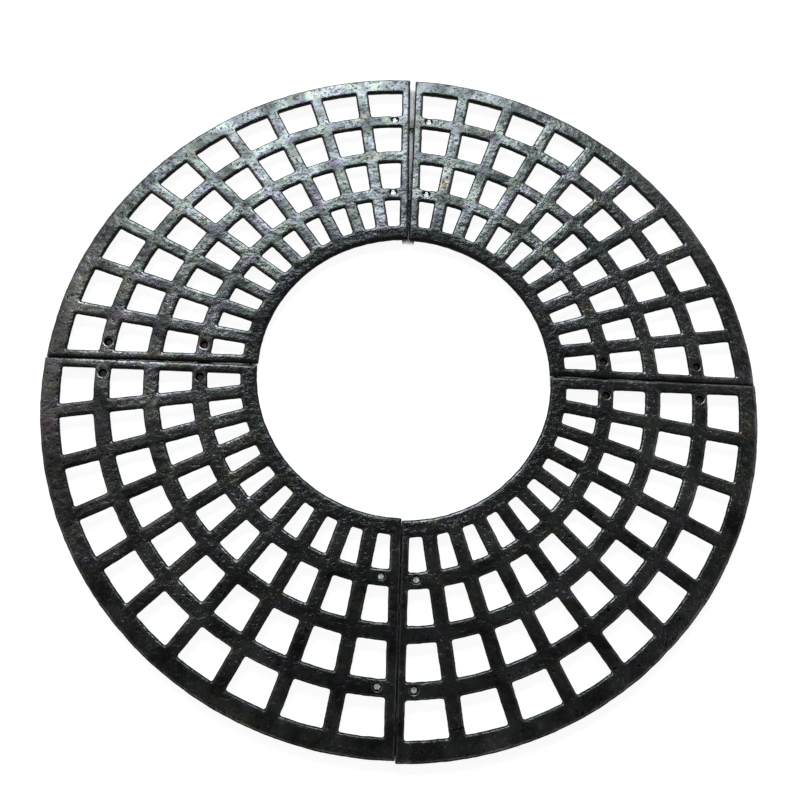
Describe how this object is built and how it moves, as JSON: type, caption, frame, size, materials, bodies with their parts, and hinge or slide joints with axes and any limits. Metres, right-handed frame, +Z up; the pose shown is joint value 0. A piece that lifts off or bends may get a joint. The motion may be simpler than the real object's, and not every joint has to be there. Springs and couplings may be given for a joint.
{
  "type": "cast iron tree grate",
  "caption": "Round flat tree grate of quarter castings with radial bars and ring ribs round an open middle for the trunk, bolted together under the seams.",
  "frame": {"origin": "middle of the grate's footprint, at the level of the feet's undersides", "axes": "+Z up through the opening, +X to the right and +Y away from the picture's viewer, so the seams lie along X and Y"},
  "size_m": [1.1966, 1.2078, 0.021],
  "materials": {
    "black_coated_cast_iron": "glossy black coating over rough sand-cast skin",
    "black_steel_strip": "satin black coating",
    "bright_zinc_steel": "bright zinc plate"
  },
  "bodies": {
    "root": {"bolt_east_inner_north": "bright_zinc_steel", "bolt_east_inner_south": "bright_zinc_steel", "bolt_east_outer_north": "bright_zinc_steel", "bolt_east_outer_south": "bright_zinc_steel", "bolt_north_inner_east": "bright_zinc_steel", "bolt_north_inner_west": "bright_zinc_steel", "bolt_north_outer_east": "bright_zinc_steel", "bolt_north_outer_west": "bright_zinc_steel", "bolt_south_inner_east": "bright_zinc_steel", "bolt_south_inner_west": "bright_zinc_steel", "bolt_south_outer_east": "bright_zinc_steel", "bolt_south_outer_west": "bright_zinc_steel", "bolt_west_inner_north": "bright_zinc_steel", "bolt_west_inner_south": "bright_zinc_steel", "bolt_west_outer_north": "bright_zinc_steel", "bolt_west_outer_south": "bright_zinc_steel", "link_plate_east_inner": "black_steel_strip", "link_plate_east_outer": "black_steel_strip", "link_plate_north_inner": "black_steel_strip", "link_plate_north_outer": "black_steel_strip", "link_plate_south_inner": "black_steel_strip", "link_plate_south_outer": "black_steel_strip", "link_plate_west_inner": "black_steel_strip", "link_plate_west_outer": "black_steel_strip", "nut_east_inner_north": "bright_zinc_steel", "nut_east_inner_south": "bright_zinc_steel", "nut_east_outer_north": "bright_zinc_steel", "nut_east_outer_south": "bright_zinc_steel", "nut_north_inner_east": "bright_zinc_steel", "nut_north_inner_west": "bright_zinc_steel", "nut_north_outer_east": "bright_zinc_steel", "nut_north_outer_west": "bright_zinc_steel", "nut_south_inner_east": "bright_zinc_steel", "nut_south_inner_west": "bright_zinc_steel", "nut_south_outer_east": "bright_zinc_steel", "nut_south_outer_west": "bright_zinc_steel", "nut_west_inner_north": "bright_zinc_steel", "nut_west_inner_south": "bright_zinc_steel", "nut_west_outer_north": "bright_zinc_steel", "nut_west_outer_south": "bright_zinc_steel", "quarter_casting_north_east": "black_coated_cast_iron", "quarter_casting_north_west": "black_coated_cast_iron", "quarter_casting_south_east": "black_coated_cast_iron", "quarter_casting_south_west": "black_coated_cast_iron"}
  },
  "joints": []
}
